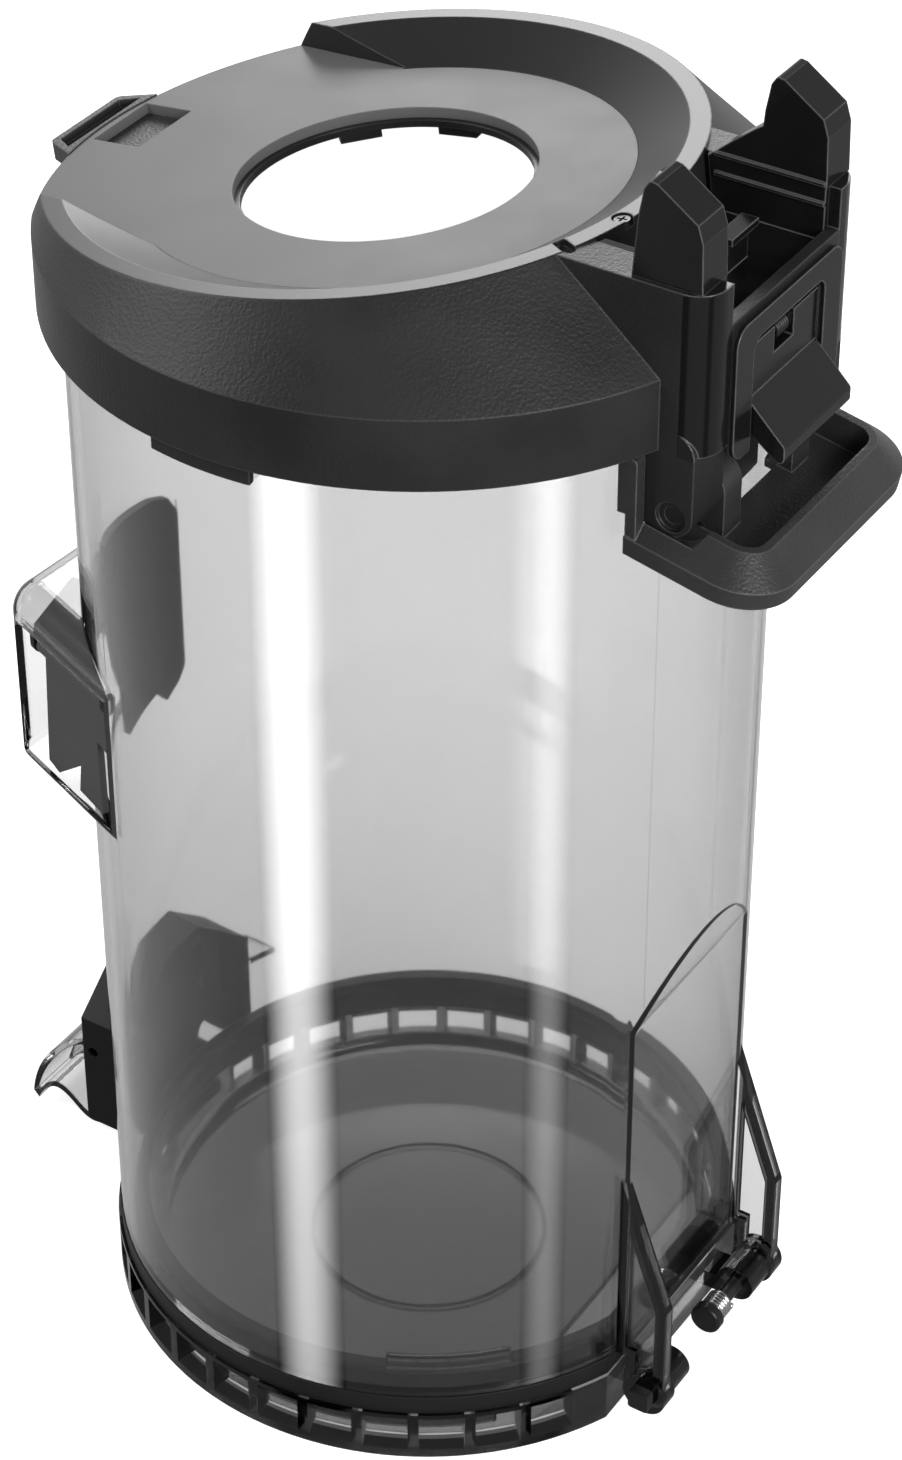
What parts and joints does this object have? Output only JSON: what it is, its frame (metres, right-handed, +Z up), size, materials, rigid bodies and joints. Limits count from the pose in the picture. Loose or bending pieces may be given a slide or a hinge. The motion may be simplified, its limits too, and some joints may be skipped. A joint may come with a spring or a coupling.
{
  "type": "cyclone dust bin",
  "caption": "Clear cyclone dust bin with a slanted lid and outlet hole, a latch tower with a release lever and grip, a side inlet with a flap, and a hinged base door held by a hook lever",
  "frame": {"origin": "on the axis of the round bin, in the plane the base door stands on", "axes": "+Z up along the bin, +X toward the latch tower and the hinge of the base door, -X toward the hook lever and the rear loop"},
  "size_m": [0.2129, 0.16, 0.3281],
  "materials": {
    "clear_plastic": "clear smoke grey, glossy",
    "grained_black": "fine leather grain",
    "gloss_black": "polished",
    "plate_grey": "satin",
    "satin_black": "satin",
    "seal_rubber": "smooth",
    "flap_rubber": "smooth",
    "bright_steel": "drawn wire",
    "dark_steel": "zinc plated"
  },
  "bodies": {
    "bin": {"bin_wall": "clear_plastic", "inlet_guide": "satin_black", "flap_rod": "bright_steel", "top_collar": "grained_black", "collar_seal": "seal_rubber", "outlet_plate": "plate_grey", "outlet_ring": "satin_black", "cover_screw": "dark_steel", "rear_tab": "grained_black", "tower_cover": "gloss_black", "front_bezel": "gloss_black", "release_pin": "bright_steel", "release_spring": "bright_steel", "grip_pins": "bright_steel", "grip_spring": "bright_steel", "hinge_stub": "bright_steel", "hinge_spindle": "bright_steel", "hinge_spring": "bright_steel", "spring_cap": "satin_black", "latch_housing": "satin_black", "latch_pin": "bright_steel", "latch_spring": "bright_steel", "latch_screws": "dark_steel"},
    "release": {"release_lever": "gloss_black"},
    "handle": {"grip": "grained_black"},
    "door": {"base_door": "clear_plastic", "door_seal": "seal_rubber", "seal_clip": "clear_plastic", "latch_keeper": "satin_black"},
    "latch": {"latch_lever": "clear_plastic"},
    "flap": {"inlet_flap": "flap_rubber"}
  },
  "joints": [
    {"name": "door_hinge", "type": "hinge", "parent": "bin", "child": "door", "pos_m": [0.0778, 0, 0.0098], "axis": [0, -1, 0], "range_deg": [0, 95]},
    {"name": "latch_hinge", "type": "hinge", "parent": "bin", "child": "latch", "pos_m": [-0.083, 0, 0.037], "axis": [0, 1, 0], "range_deg": [0, 18], "stiffness_Nm_per_rad": 0.3, "springref_deg": -5.73},
    {"name": "release_hinge", "type": "hinge", "parent": "bin", "child": "release", "pos_m": [0.0826, 0, 0.2862], "axis": [0, 1, 0], "range_deg": [0, 8], "stiffness_Nm_per_rad": 0.2, "springref_deg": -5.73},
    {"name": "grip_hinge", "type": "hinge", "parent": "bin", "child": "handle", "pos_m": [0.0774, 0, 0.256], "axis": [0, 1, 0], "range_deg": [0, 8], "stiffness_Nm_per_rad": 0.5, "springref_deg": -5.73},
    {"name": "flap_hinge", "type": "hinge", "parent": "bin", "child": "flap", "pos_m": [-0.04068, -0.06074, 0.1822], "axis": [0.9246, -0.3811, 0], "range_deg": [0, 50]}
  ]
}
